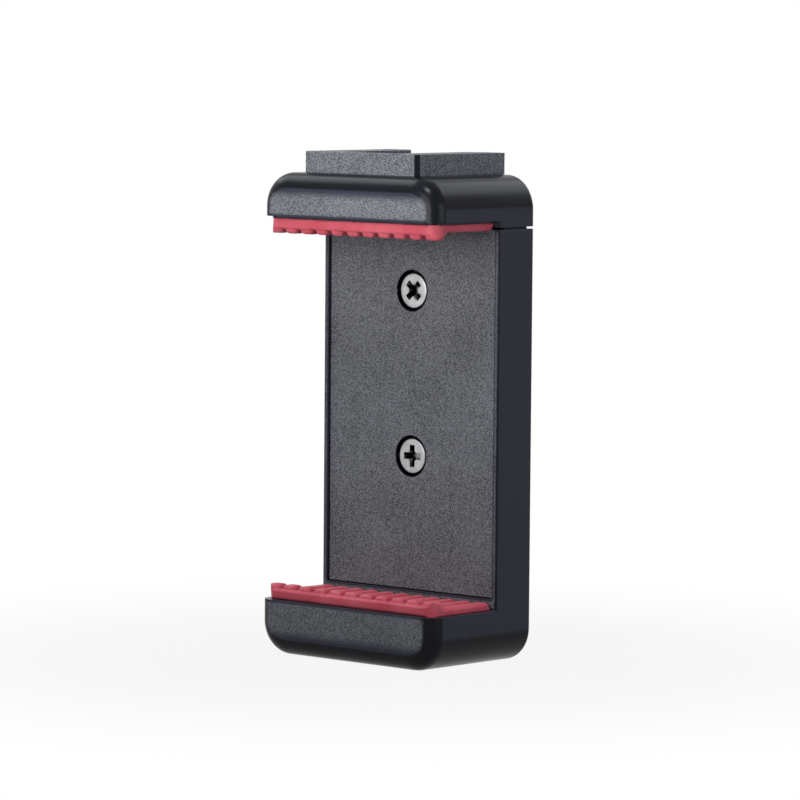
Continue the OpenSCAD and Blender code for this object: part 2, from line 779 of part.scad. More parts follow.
// Post in the top of a spring slot that holds the spring's upper hook
module hook_post() {
    translate([spring_x, tongue_back_y - hook_web_t / 2, high_post_z]) rotate([90, 0, 0])
        cylinder(h = tongue_back_y - hook_web_t / 2 - tongue_front_y, d = post_d);
}

// Recess between the rails on the front of one leg of the fork
module rail_recess() {
    recess_z = high_post_z + spring_slot_x + rail_w;
    recess_top = housing_h - bridge_h;
    translate([fork_x + rail_w, tongue_front_y - over, recess_z])
        cube([neck_x - fork_x - 2 * rail_w, recess_d + over, recess_top - recess_z]);
}

// One screw that holds the slide in the upper jaw, on the side that side gives, -1 or 1
module tongue_screw(side) {
    color("silver") translate([side * plate_screw_x, plate_screw_at, upper_plate_z + head_sink])
        mirror([0, 0, 1]) small_screw(plate_screw_l);
}

// Accessory shoe: a block with a T slot, closed at the front and open at the back
module cold_shoe() {
    color("gray") difference() {
        union() {
            translate([0, 0, jaw_top_z]) linear_extrude(shoe_h) shoe_outline();
            translate([-shoe_base_w / 2, shoe_y + shoe_base_step, shoe_base_z])
                cube([shoe_base_w, back_y - shoe_y - 2 * shoe_base_step, shoe_sink + shoe_h / 2]);
        }
        translate([-slot_w / 2, shoe_y + slot_stop, slot_floor_z])
            cube([slot_w, back_y - shoe_y, slot_h]);
        translate([-slot_mouth_w / 2, shoe_y + slot_stop, slot_floor_z])
            cube([slot_mouth_w, back_y - shoe_y, shoe_top_z]);
        translate([0, 0, slot_floor_z]) linear_extrude(shoe_top_z) polygon([
            [-slot_mouth_w / 2 - lead_in, back_y + over], [-slot_mouth_w / 2 - lead_in, back_y],
            [-slot_mouth_w / 2, back_y - lead_in], [slot_mouth_w / 2, back_y - lead_in],
            [slot_mouth_w / 2 + lead_in, back_y], [slot_mouth_w / 2 + lead_in, back_y + over]
        ]);
        for (y = [0, shoe_screw_pitch]) translate([0, shoe_screw_at + y, slot_floor_z])
            small_screw_hole(slot_floor_z - shoe_base_z);
    }
}

// Plan of the shoe's block with its two front edges chamfered
module shoe_outline() {
    shoe_x = shoe_w / 2;
    polygon([
        [-shoe_x, back_y], [-shoe_x, shoe_y + shoe_chamfer], [shoe_chamfer - shoe_x, shoe_y],
        [shoe_x - shoe_chamfer, shoe_y], [shoe_x, shoe_y + shoe_chamfer], [shoe_x, back_y]
    ]);
}

// One screw in the slot's floor, step_back behind the front one
module shoe_screw(step_back) {
    color("silver") translate([0, shoe_screw_at + step_back, slot_floor_z - head_sink])
        small_screw(shoe_screw_l);
}

body_shell();
front_cover();
cover_screw_upper();
cover_screw_lower();
lower_jaw_plate();
lower_plate_screw(-1);  // lower_plate_screw_left
lower_plate_screw(1);  // lower_plate_screw_right
tripod_nut();
lower_pad();
spring_at(-1);  // spring_left
spring_at(1);  // spring_right
upper_jaw();
slide_tongue();
tongue_screw(-1);  // tongue_screw_left
tongue_screw(1);  // tongue_screw_right
upper_pad();
cold_shoe();
shoe_screw(0);  // shoe_screw_front
shoe_screw(shoe_screw_pitch);  // shoe_screw_rear
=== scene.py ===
# %% [markdown]
# # A sprung phone clamp for a tripod
# The object is a black moulded housing with a fixed lower jaw, a flat front cover held by two
# cross-head screws, an upper jaw that slides up against two springs, red rubber pads and an
# accessory shoe. The solids come ready made in one frame, in metres, with Z up. This script adds
# what a solid model lacks: finishes, soft rubber, real springs, threads and screw recesses.

# %% Load the frame
import json
from math import copysign, cos, hypot, radians, sin, tau

import bmesh
import bpy
from mathutils import Matrix, Vector

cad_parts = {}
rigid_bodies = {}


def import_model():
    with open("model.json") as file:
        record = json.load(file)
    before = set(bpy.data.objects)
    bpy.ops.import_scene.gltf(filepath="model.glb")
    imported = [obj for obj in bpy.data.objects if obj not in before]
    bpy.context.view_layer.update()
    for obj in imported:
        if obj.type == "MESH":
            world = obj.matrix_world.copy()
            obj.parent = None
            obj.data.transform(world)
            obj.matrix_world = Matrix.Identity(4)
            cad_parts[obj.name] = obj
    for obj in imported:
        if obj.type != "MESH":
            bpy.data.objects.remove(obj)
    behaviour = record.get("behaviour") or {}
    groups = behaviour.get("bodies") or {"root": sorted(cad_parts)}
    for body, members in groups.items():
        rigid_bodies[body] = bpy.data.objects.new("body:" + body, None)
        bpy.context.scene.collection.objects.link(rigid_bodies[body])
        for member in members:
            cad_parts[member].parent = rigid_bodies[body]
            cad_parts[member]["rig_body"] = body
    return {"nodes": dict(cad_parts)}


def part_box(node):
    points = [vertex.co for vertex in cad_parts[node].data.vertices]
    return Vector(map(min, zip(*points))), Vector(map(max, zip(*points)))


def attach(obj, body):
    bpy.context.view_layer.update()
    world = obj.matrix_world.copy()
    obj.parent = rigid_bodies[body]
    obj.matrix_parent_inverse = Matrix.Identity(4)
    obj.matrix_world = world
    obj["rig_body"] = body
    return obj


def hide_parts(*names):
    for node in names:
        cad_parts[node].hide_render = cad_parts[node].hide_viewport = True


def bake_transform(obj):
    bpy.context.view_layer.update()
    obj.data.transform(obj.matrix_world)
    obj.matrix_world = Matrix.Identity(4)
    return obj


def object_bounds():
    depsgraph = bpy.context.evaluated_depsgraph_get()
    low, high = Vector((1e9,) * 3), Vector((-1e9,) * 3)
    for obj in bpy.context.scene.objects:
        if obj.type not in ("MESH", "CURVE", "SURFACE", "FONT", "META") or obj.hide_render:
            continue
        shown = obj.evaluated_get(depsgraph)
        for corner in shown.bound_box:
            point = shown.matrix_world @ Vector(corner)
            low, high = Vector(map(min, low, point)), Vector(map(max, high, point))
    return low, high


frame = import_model()
nodes = frame["nodes"]
cad_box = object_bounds()
MM = 0.001
print("nodes", len(nodes), "box in mm", [round(c / MM, 1) for corner in cad_box for c in corner])

# %% [markdown]
# ## Camera
# The picture was taken with a long lens from the right, a little above the object. A long lens
# keeps upright edges upright. The camera is turned about Z first, then tipped down, and then
# rolled by a fraction of a degree, so three rotations are multiplied in that order.

# %% Camera
LENS_MM = 218.41
CAMERA_TURN = 42.764
CAMERA_TIP = 4.559
CAMERA_ROLL = 0.457
CAMERA_PLACE = Vector((568.12, -613.13, 111.34)) * MM

camera = bpy.data.objects.new("camera", bpy.data.cameras.new("camera"))
bpy.context.scene.collection.objects.link(camera)
camera.data.lens = LENS_MM
camera.matrix_world = (
    Matrix.Translation(CAMERA_PLACE)
    @ Matrix.Rotation(radians(CAMERA_TURN), 4, "Z")
    @ Matrix.Rotation(radians(90 - CAMERA_TIP), 4, "X")
    @ Matrix.Rotation(radians(CAMERA_ROLL), 4, "Z")
)
bpy.context.scene.camera = camera
bpy.context.scene.view_settings.view_transform = "Standard"
print("camera", [round(c, 3) for c in camera.location])

# %% [markdown]
# ## Shader maths
# A material is easier to read as a formula than as a pile of linked boxes. The class below wraps
# one output socket. Its operators add Math nodes, and `node` adds any other node: settings go in
# first, then the sockets get a number, a colour or another wrapped socket.

# %% Wrapped socket
class Signal:
    def __init__(self, socket):
        self.socket = socket
        self.tree = socket.id_data

    def node(self, kind, inputs, settings=None, output=0):
        made = self.tree.nodes.new(kind)
        for name, value in (settings or {}).items():
            setattr(made, name, value)
        for name, value in inputs.items():
            if isinstance(value, Signal):
                self.tree.links.new(value.socket, made.inputs[name])
            else:
                made.inputs[name].default_value = value
        return Signal(made.outputs[output]) if len(made.outputs) else None

    def maths(self, operation, *operands):
        return self.node("ShaderNodeMath", dict(enumerate(operands)), {"operation": operation})

    def __add__(self, other):
        return self.maths("ADD", self, other)

    def __radd__(self, other):
        return self.maths("ADD", other, self)

    def __sub__(self, other):
        return self.maths("SUBTRACT", self, other)

    def __rsub__(self, other):
        return self.maths("SUBTRACT", other, self)

    def __mul__(self, other):
        return self.maths("MULTIPLY", self, other)

    def __rmul__(self, other):
        return self.maths("MULTIPLY", other, self)


# %% Helpers for every finish
def start_material(name):
    """A bare material and its Object coordinates, in metres, which stay with the piece as it moves."""
    material = bpy.data.materials.new(name)
    material.use_nodes = True
    material.node_tree.nodes.clear()
    coordinates = material.node_tree.nodes.new("ShaderNodeTexCoord")
    return material, Signal(coordinates.outputs["Object"]), Signal(coordinates.outputs["Normal"])


def noise(place, size_mm, detail=2.0, stretch=(1, 1, 1), seed=0.0):
    """Noise from 0 to 1 whose blotches are about size_mm across, longer where stretch is above 1."""
    squeezed = place.node(
        "ShaderNodeVectorMath",
        {0: place, 1: tuple(1 / (size_mm * MM * s) for s in stretch)},
        {"operation": "MULTIPLY"},
    )
    return place.node(
        "ShaderNodeTexNoise", {"Vector": squeezed, "W": seed, "Scale": 1.0, "Detail": detail},
        {"noise_dimensions": "4D"},
    )


def between(signal, low, high, out_low=0.0, out_high=1.0):
    """Moves a signal smoothly from out_low to out_high as it goes from low to high."""
    return signal.node(
        "ShaderNodeMapRange",
        {"Value": signal, "From Min": low, "From Max": high, "To Min": out_low, "To Max": out_high},
        {"interpolation_type": "SMOOTHSTEP"},
    )


def mixed(factor, colour_a, colour_b):
    """Colour a where the factor is 0 and colour b where it is 1."""
    return factor.node(
        "ShaderNodeMix", {0: factor, 6: colour_a, 7: colour_b}, {"data_type": "RGBA"}, output=2
    )


def finish_surface(signal, **sockets):
    """Ends a material in one Principled BSDF with these sockets."""
    names = {name.replace("_", " "): value for name, value in sockets.items()}
    surface = signal.node("ShaderNodeBsdfPrincipled", names)
    signal.node("ShaderNodeOutputMaterial", {"Surface": surface})


# %% [markdown]
# ## Stage and light
# The picture has a plain white ground. The world is white only for what the camera sees directly
# or in a reflection, and a quiet grey for everything else, so it never floods the object. The
# floor mixes a white glow with a real matt surface, so it looks white and still holds a shadow.
# The glow takes over with distance from the object, where no shadow falls.

# %% World and floor
AMBIENT = 0.06
FLOOR_GREY = (0.22, 0.22, 0.22, 1)
FLOOR_DROP_MM = 0.02
GLOW_NEAR = 0.90
SHADOW_REACH_MM = (35, 130)
FLOOR_RADIUS = 12.0


def seen_directly(signal):
    """1 for camera, glossy and transmission rays, else 0."""
    path = signal.tree.nodes.new("ShaderNodeLightPath")
    rays = [Signal(path.outputs[f"Is {kind} Ray"]) for kind in ("Camera", "Glossy", "Transmission")]
    return rays[0].maths("MAXIMUM", rays[0].maths("MAXIMUM", rays[0], rays[1]), rays[2])


def build_world(ambient):
    world = bpy.data.worlds.new("studio")
    bpy.context.scene.world = world
    world.use_nodes = True
    world.node_tree.nodes.clear()
    start = Signal(world.node_tree.nodes.new("ShaderNodeTexCoord").outputs[0])
    seen = seen_directly(start)
    strength = seen * (1 - ambient) + ambient
    glow = start.node("ShaderNodeBackground", {"Color": (1, 1, 1, 1), "Strength": strength})
    start.node("ShaderNodeOutputWorld", {"Surface": glow})


def build_floor():
    bpy.ops.mesh.primitive_circle_add(radius=FLOOR_RADIUS, vertices=96, fill_type="NGON")
    floor = bpy.context.object
    floor.name = "floor"
    floor.location.z = cad_box[0].z - FLOOR_DROP_MM * MM
    material, place, _ = start_material("pale floor")
    away = place.node("ShaderNodeVectorMath", {0: place}, {"operation": "LENGTH"}, output="Value")
    near, far = (reach * MM for reach in SHADOW_REACH_MM)
    share = between(away, near, far, GLOW_NEAR, 1.0)
    matt = place.node("ShaderNodeBsdfDiffuse", {"Color": FLOOR_GREY})
    glow = place.node("ShaderNodeEmission", {"Color": (1, 1, 1, 1), "Strength": 1.0})
    both = place.node("ShaderNodeMixShader", {0: seen_directly(place) * share, 1: matt, 2: glow})
    place.node("ShaderNodeOutputMaterial", {"Surface": both})
    floor.data.materials.append(material)


build_world(AMBIENT)
build_floor()
print("stage ready")

# %% Lamps
TARGET = (cad_box[0] + cad_box[1]) / 2


def soft_lamp(name, turn, height, distance, size, power, tint=(1, 1, 1), level=False, spread=180):
    """A square softbox. turn is its angle round the object from the front, in degrees."""
    lamp = bpy.data.objects.new(name, bpy.data.lights.new(name, "AREA"))
    bpy.context.scene.collection.objects.link(lamp)
    lamp.location = TARGET + Vector(
        (sin(radians(turn)) * distance, -cos(radians(turn)) * distance, height)
    )
    aim = TARGET - lamp.location
    if level:
        aim.z = 0
    lamp.rotation_euler = aim.to_track_quat("-Z", "Y").to_euler()
    lamp.data.size = size
    lamp.data.spread = radians(spread)
    lamp.data.energy = power
    lamp.data.color = tint
    lamp.visible_camera = False


COOL = (0.90, 0.95, 1.0)
soft_lamp("key", turn=4, height=0.060, distance=0.130, size=0.10, power=0.070, level=True, spread=90)
soft_lamp("side", turn=95, height=0.06, distance=0.32, size=0.20, power=0.36, tint=COOL)
soft_lamp("top", turn=18, height=0.36, distance=0.20, size=0.10, power=0.9, tint=COOL)
soft_lamp("left edge", turn=-80, height=0.30, distance=0.32, size=0.24, power=0.7, tint=COOL)
soft_lamp("back edge", turn=172, height=0.20, distance=0.34, size=0.24, power=0.5, tint=COOL)
print("lamps ready")

# %% [markdown]
# ## Black moulded plastic
# The front faces carry the fine spark-eroded grain of the mould and look paler. The other flat
# faces are satin. The rounded edges between them are polished, and their colour is a painted dark
# reflection, almost black and a little blue. One finish serves all three: the surface normal says
# which way a face looks, and masks made from it turn the grain, the roughness and the paler colours
# on. Two bevelled normals help: a wide one lets the grain fade into that painted near black before
# an edge, and a narrow one catches light along sharp edges, as the tiny radius of a real moulding
# does. The rolled foot and top lose their grain by height and get the same painted near black as
# painted shade. An occlusion mask paints shade that blackens the seams and the gaps round the screws.

# %% Plastic
# Near black painted onto the rounded edges as a dark reflection, and into the gaps as painted shade
PAINTED_REFLECTION_AND_SHADE_BLACK = (0.0035, 0.0040, 0.0065, 1)
SATIN_BLACK = (0.027, 0.028, 0.042, 1)
GRAIN_DARK = (0.012, 0.0125, 0.016, 1)
GRAIN_PALE = (0.222, 0.229, 0.249, 1)
# Heights between which the grain sets in above the rolled foot and below the rolled top. Outside them
# the rolled bands are painted near black as painted shade and dark reflection.
ROLLED_PAINTED_SHADE_MM = ((2.9, 4.8), (80.9, 79.2))
FADE_MM = 1.1
COVER_FADE_MM = 0.2
EDGE_MM = 0.18
PIT_MM = 0.157
CLOUD_MM = 9.0
STREAK_MM = 1.6
RELIEF_MM = 0.03
GAP_MM = 1.0


def plastic(name, fade_mm=FADE_MM, all_grained=False):
    material, place, normal = start_material(name)
    parts = [place.node("ShaderNodeSeparateXYZ", {"Vector": normal}, output=axis) for axis in "XYZ"]
    widths = [part.maths("ABSOLUTE", part) for part in parts]
    widest = widths[0].maths("MAXIMUM", widths[0].maths("MAXIMUM", widths[0], widths[1]), widths[2])
    flat = between(widest, 0.994, 0.9998)
    wide_bevel = place.node("ShaderNodeBevel", {"Radius": fade_mm * MM}, {"samples": 8})
    front = place.node("ShaderNodeSeparateXYZ", {"Vector": wide_bevel}, output="Y") * -1
    if all_grained:
        grained = flat
    else:
        grained = between(front, 0.95, 0.9995)
        # Painted shade: below and above these heights the rolled foot and top lose grain and go near
        # black
        height = place.node("ShaderNodeSeparateXYZ", {"Vector": place}, output="Z")
        for bare, full in ROLLED_PAINTED_SHADE_MM:
            grained = grained * between(height, bare * MM, full * MM)
    pits = noise(place, PIT_MM, detail=2.0, seed=0.4)
    cloud = noise(place, CLOUD_MM, detail=3.0, seed=3.0)
    streak = noise(place, STREAK_MM, detail=2.0, stretch=(0.5, 0.5, 30), seed=7.0)
    speckle = between(pits, 0.40, 0.62)
    blotch = between(cloud, 0.3, 0.7)
    lines = between(streak, 0.3, 0.7)
    grain = mixed(0.10 + 0.68 * speckle + 0.10 * blotch + 0.05 * lines, GRAIN_DARK, GRAIN_PALE)
    # Rounded edges get the near-black painted dark reflection, flat sides get satin, grained fronts
    # get the grain
    colour = mixed(grained, mixed(flat, PAINTED_REFLECTION_AND_SHADE_BLACK, SATIN_BLACK), grain)
    # Painted shade: an occlusion mask turns the colour near black in seams and narrow gaps
    openness = place.node(
        "ShaderNodeAmbientOcclusion", {"Distance": GAP_MM * MM}, {"samples": 8}, output="AO"
    )
    colour = mixed(between(openness, 0.15, 0.60), PAINTED_REFLECTION_AND_SHADE_BLACK, colour)
    smooth_rough = 0.22 + 0.05 * blotch
    grain_rough = 0.52 - 0.10 * speckle + 0.04 * blotch
    roughness = smooth_rough + grained * (grain_rough - smooth_rough)
    edge = place.node("ShaderNodeBevel", {"Radius": EDGE_MM * MM}, {"samples": 6})
    relief = pits * grained + cloud * 0.5
    bump = place.node(
        "ShaderNodeBump",
        {"Strength": 0.55, "Distance": RELIEF_MM * MM, "Height": relief, "Normal": edge},
    )
    finish_surface(
        place, Base_Color=colour, Roughness=roughness, Specular_IOR_Level=0.10, Normal=bump
    )
    return material


moulded = plastic("black moulding")
cover_plastic = plastic("black cover moulding", fade_mm=COVER_FADE_MM)
shoe_plastic = plastic("black shoe moulding", all_grained=True)
print("plastic ready")

# %% [markdown]
# ## Red rubber
# The pads are soft silicone in a pinkish red. Rubber has a low, broad shine, a faint powdery
# bloom and a very fine texture, and it looks deeper in its hollows. Colour variation and a small
# bump do that, and a soft sheen lifts the edges.

# %% Rubber
DEEP_RED = (0.42, 0.038, 0.062, 1)
PALE_RED = (0.56, 0.108, 0.142, 1)


def rubber():
    material, place, _ = start_material("red rubber")
    fine = noise(place, 0.22, detail=3.0)
    cloud = noise(place, 6.0, detail=2.0, seed=2.0)
    shade = 0.5 * between(fine, 0.3, 0.7) + 0.5 * between(cloud, 0.3, 0.7)
    colour = mixed(shade, DEEP_RED, PALE_RED)
    roughness = 0.46 + 0.12 * fine
    bump = place.node("ShaderNodeBump", {"Strength": 0.35, "Distance": 0.02 * MM, "Height": fine})
    finish_surface(
        place, Base_Color=colour, Roughness=roughness, Specular_IOR_Level=0.22,
        Sheen_Weight=0.04, Sheen_Roughness=0.5, Normal=bump,
    )
    return material


red_rubber = rubber()
print("rubber ready")

# %% [markdown]
# ## Metals
# The screws are plated steel, the springs are drawn wire and the nut is brass. All three are the
# same recipe: a metal with a colour that drifts a little, a roughness that is broken up by fine
# scratches, and a shallow bump. Narrow hollows, such as a driver's recess, get painted shade: an
# occlusion mask darkens their colour towards near black.

# %% Metals
# Near-black colour painted into narrow hollows as shade
RECESS_PAINTED_SHADE = (0.006, 0.006, 0.007, 1)


def metal(name, dark, pale, roughness_low, roughness_high, scratch_mm, stretch=(1, 1, 1)):
    material, place, _ = start_material(name)
    scratch = noise(place, scratch_mm, detail=3.0, stretch=stretch)
    cloud = noise(place, 1.8, detail=2.0, seed=5.0)
    shade = 0.5 * between(scratch, 0.3, 0.7) + 0.5 * between(cloud, 0.3, 0.7)
    # Painted shade: occlusion turns the colour near black in recesses and round the heads
    openness = place.node(
        "ShaderNodeAmbientOcclusion", {"Distance": 1.2 * MM}, {"samples": 8}, output="AO"
    )
    colour = mixed(between(openness, 0.62, 0.94), RECESS_PAINTED_SHADE, mixed(shade, dark, pale))
    roughness = between(scratch, 0.3, 0.7, roughness_low, roughness_high)
    bump = place.node("ShaderNodeBump", {"Strength": 0.25, "Distance": 0.01 * MM, "Height": scratch})
    finish_surface(place, Base_Color=colour, Roughness=roughness, Metallic=1.0, Normal=bump)
    return material


screw_steel = metal("plated steel", (0.30, 0.30, 0.305, 1), (0.46, 0.46, 0.465, 1), 0.36, 0.52, 0.25)
spring_steel = metal("spring wire", (0.50, 0.50, 0.51, 1), (0.68, 0.68, 0.69, 1), 0.20, 0.34, 0.3)
brass = metal(
    "turned brass", (0.62, 0.40, 0.13, 1), (0.78, 0.55, 0.22, 1), 0.22, 0.38, 0.2, (4, 4, 0.4)
)
print("metals ready")

# %% Dress the moulded parts
for name in ("body_shell", "lower_jaw_plate", "upper_jaw", "slide_tongue"):
    nodes[name].material_slots[0].material = moulded
nodes["cold_shoe"].material_slots[0].material = shoe_plastic
nodes["front_cover"].material_slots[0].material = cover_plastic

# %% [markdown]
# ## Making pieces
# A new piece is a mesh made from a bmesh, put into the scene, given its finish and then tied to
# the frame: it rides on a body, and it stands for the plain solid that it replaces.

# %% Piece helpers
def new_piece(name, bm, material, smooth=True):
    mesh = bpy.data.meshes.new(name)
    bm.to_mesh(mesh)
    bm.free()
    piece = bpy.data.objects.new(name, mesh)
    bpy.context.scene.collection.objects.link(piece)
    mesh.materials.append(material)
    mesh.polygons.foreach_set("use_smooth", [smooth] * len(mesh.polygons))
    return piece


def apply_modifiers(piece):
    """Turns the modified shape into the piece's own mesh."""
    graph = bpy.context.evaluated_depsgraph_get()
    mesh = bpy.data.meshes.new_from_object(piece.evaluated_get(graph))
    piece.modifiers.clear()
    piece.data = mesh


def cut_away(piece, cutter):
    cut = piece.modifiers.new("cut", "BOOLEAN")
    cut.operation = "DIFFERENCE"
    cut.solver = "EXACT"
    cut.use_self = True
    cut.object = cutter
    apply_modifiers(piece)
    bpy.data.objects.remove(cutter)


def break_edges(piece, width_mm, steeper_than, sharp_above):
    """Bevels edges that turn by more than one angle and shades those above the other sharp."""
    soften = piece.modifiers.new("broken edges", "BEVEL")
    soften.width = width_mm * MM
    soften.segments = 2
    soften.limit_method = "ANGLE"
    soften.angle_limit = radians(steeper_than)
    apply_modifiers(piece)
    piece.data.set_sharp_from_angle(angle=radians(sharp_above))


def stand_for(piece, node):
    body = nodes[node]["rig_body"]
    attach(piece, body)
    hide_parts(node)
    print(piece.name, "rides on", body, "with", len(piece.data.polygons), "faces")


# %% [markdown]
# ## Rubber pads
# Each pad is one soft moulding: a thin sheet, ribs from front to back, and a raised lip with a
# knob in line with every rib. Rounded blocks are pushed into each other, a voxel remesh melts
# them into one skin, and smoothing turns the joins into the soft hollows of moulded rubber. The
# front wall leans out a little towards its top, as the real one does.

# %% Pad sizes
# All in millimetres
RIB_COUNT = 11
RIB_WIDTH = 2.3
RIB_HEIGHT = 1.35
RIB_INSET = 0.1
RIB_ROUND = 0.6
RIB_OVERLAP = 0.8
RIB_FOOT = 0.05
KNOB_WIDTH = 2.8
KNOB_DEPTH = 2.9
KNOB_SETBACK = 0.35
KNOB_ROUND = 0.7
KNOB_FOOT = 0.4
LIP_DEPTH = 3.3
LIP_HEIGHT = 1.8
LIP_ROUND = 0.45
SHEET = 0.55
SHEET_SETBACK = 0.3
SHEET_ROUND = 0.2
PAD_VOXEL = 0.13
LEAN = 0.10
FRONT_CORNER = 2.2


# %% Soft block
def add_block(bm, low, high, radius, segments=4):
    """A block between two corners, in millimetres, with its edges rounded by radius."""
    low, high = Vector(low), Vector(high)
    middle = (low + high) / 2
    made = bmesh.ops.create_cube(bm, size=1, matrix=Matrix.Translation(middle * MM))
    for vertex in made["verts"]:
        for axis in range(3):
            away = vertex.co[axis] - middle[axis] * MM
            vertex.co[axis] = (middle[axis] + (high - low)[axis] / 2 * (1 if away > 0 else -1)) * MM
    edges = list({edge for vertex in made["verts"] for edge in vertex.link_edges})
    bmesh.ops.bevel(
        bm, geom=edges, offset=radius * MM, segments=segments, profile=0.5, affect="EDGES"
    )


# %% One pad, lying on z = 0 with its gripping side up
def pad_mesh(width, depth, height):
    bm = bmesh.new()
    half = width / 2
    pitch = (width - KNOB_WIDTH) / (RIB_COUNT - 1)
    knob = KNOB_WIDTH / 2
    add_block(bm, (-half, SHEET_SETBACK, 0), (half, depth, SHEET), SHEET_ROUND)
    add_block(bm, (-half, 0, 0), (half, LIP_DEPTH, LIP_HEIGHT), LIP_ROUND)
    for index in range(RIB_COUNT):
        x = (index - (RIB_COUNT - 1) / 2) * pitch
        rib = knob if index in (0, RIB_COUNT - 1) else RIB_WIDTH / 2
        add_block(
            bm, (x - knob, KNOB_SETBACK, KNOB_FOOT), (x + knob, KNOB_DEPTH, height), KNOB_ROUND
        )
        add_block(
            bm, (x - rib, LIP_DEPTH - RIB_OVERLAP, RIB_FOOT), (x + rib, depth - RIB_INSET, RIB_HEIGHT),
            RIB_ROUND,
        )
    return bm


def on_round_corner(x, y, half):
    """Pulls a point that lies outside the round front corners of a pad onto them."""
    out_x, out_y = abs(x) - (half - FRONT_CORNER * MM), FRONT_CORNER * MM - y
    if out_x <= 0 or out_y <= 0:
        return x, y
    share = min(1.0, FRONT_CORNER * MM / hypot(out_x, out_y))
    return copysign(abs(x) - out_x * (1 - share), x), y + out_y * (1 - share)


def build_pad(name, node, upside_down):
    low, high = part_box(node)
    size = (high - low) / MM
    piece = new_piece(name, pad_mesh(size.x, size.y, size.z), red_rubber)
    remesh = piece.modifiers.new("melt", "REMESH")
    remesh.mode = "VOXEL"
    remesh.voxel_size = PAD_VOXEL * MM
    remesh.use_smooth_shade = True
    smooth = piece.modifiers.new("soften", "SMOOTH")
    smooth.factor = 0.5
    smooth.iterations = 2
    apply_modifiers(piece)
    for vertex in piece.data.vertices:
        vertex.co.x, vertex.co.y = on_round_corner(vertex.co.x, vertex.co.y, size.x / 2 * MM)
        up = min(1.0, max(0.0, vertex.co.z / (LIP_HEIGHT * MM)))
        lip = 1 - min(1.0, max(0.0, vertex.co.y / (LIP_DEPTH * MM)))
        vertex.co.y -= LEAN * MM * up * lip
        vertex.co.x *= 1 + LEAN * MM * up * lip / (size.x / 2 * MM)
        vertex.co += Vector((0, low.y, 0))
        vertex.co.z = high.z - vertex.co.z if upside_down else low.z + vertex.co.z
    if upside_down:
        piece.data.flip_normals()
    stand_for(piece, node)


build_pad("grip_pad_lower", "lower_pad", upside_down=False)
build_pad("grip_pad_upper", "upper_pad", upside_down=True)

# %% [markdown]
# ## Turned parts
# A screw is a shape of revolution, apart from its thread and its recess. `turned` spins a profile
# of radius and height into rings. On threaded stretches the radius rises and falls with height
# and angle together, which draws a helix. The profile is closed at both poles.

# %% Turned mesh
AROUND = 48


def thread_wave(height, angle, pitch):
    """From 0 in the root of a thread to 1 on its crest."""
    phase = (height / pitch - angle / tau) % 1.0
    return 1 - abs(2 * phase - 1)


def turned(profile, pitch=0.0, around=AROUND):
    """profile lists (radius, height, thread depth) in millimetres, from one pole to the other."""
    bm = bmesh.new()
    rings = []
    for radius, height, depth in profile:
        if radius == 0:
            rings.append([bm.verts.new((0, 0, height * MM))])
            continue
        ring = []
        for step in range(around):
            angle = tau * step / around
            cut = depth * (1 - thread_wave(height, angle, pitch)) if depth else 0
            r = (radius - cut) * MM
            ring.append(bm.verts.new((r * cos(angle), r * sin(angle), height * MM)))
        rings.append(ring)
    for lower, upper in zip(rings, rings[1:]):
        for step in range(around):
            near, far = step, (step + 1) % around
            corners = [lower[near % len(lower)], lower[far % len(lower)]]
            corners += [upper[far % len(upper)], upper[near % len(upper)]]
            bm.faces.new(list(dict.fromkeys(corners)))
    bmesh.ops.recalc_face_normals(bm, faces=bm.faces)
    return bm


def arc_profile(centre, radius, start, end, steps=6):
    """Points along an arc of a profile, with angles in degrees."""
    turns = [radians(start + (end - start) * step / steps) for step in range(steps + 1)]
    return [(centre[0] + radius * cos(t), centre[1] + radius * sin(t), 0) for t in turns]


def threaded(radius, depth, pitch, low, high, steps_per_pitch=6):
    """Rows of a threaded stretch that runs from high down to low."""
    count = max(2, round((high - low) / pitch * steps_per_pitch))
    rows = [(radius, high - (high - low) * step / count, depth) for step in range(1, count)]
    return [(radius - depth, high, 0)] + rows + [(radius - depth, low, 0)]


# %% [markdown]
# ## Cross recesses
# The recess of a cross-head screw has four arms that narrow towards its floor, with the corners
# between them rounded off by the driver's cone. Two crossed wedges and a cone are cut out of the
# head in one go.

# %% Recess cutter
def add_wedge(bm, length, width, depth, turn, taper=0.7):
    """A bar with sloping ends, standing a little above z = 0 and reaching down to -depth."""
    made = bmesh.ops.create_cube(bm, size=1)
    for vertex in made["verts"]:
        top = vertex.co.z > 0
        share = 1 if top else taper
        x = vertex.co.x * length * share
        y = vertex.co.y * width * (1 if top else 0.8)
        z = 0.3 if top else -depth
        vertex.co = Vector((x, y, z)) * MM
    bmesh.ops.rotate(bm, verts=made["verts"], matrix=Matrix.Rotation(radians(turn), 3, "Z"))


def cut_cross(piece, top, length, width, depth, turn):
    bm = bmesh.new()
    add_wedge(bm, length, width, depth, turn)
    add_wedge(bm, length, width, depth, turn + 90)
    bmesh.ops.create_cone(
        bm, cap_ends=True, segments=24, radius1=width * 0.45 * MM, radius2=width * 0.98 * MM,
        depth=(depth + 0.3) * MM, matrix=Matrix.Translation((0, 0, (0.3 - depth) / 2 * MM)),
    )
    bmesh.ops.translate(bm, verts=bm.verts, vec=(0, 0, top * MM))
    cut_away(piece, new_piece("cutter", bm, screw_steel))
    break_edges(piece, 0.035, steeper_than=40, sharp_above=35)


# %% Panhead screws of the cover
HEAD_MARGIN = 0.12
HEAD_HEIGHT = 2.0
HEAD_CROWN = 0.4
COVER_SHANK_RADIUS = 1.45
COVER_PITCH = 1.1


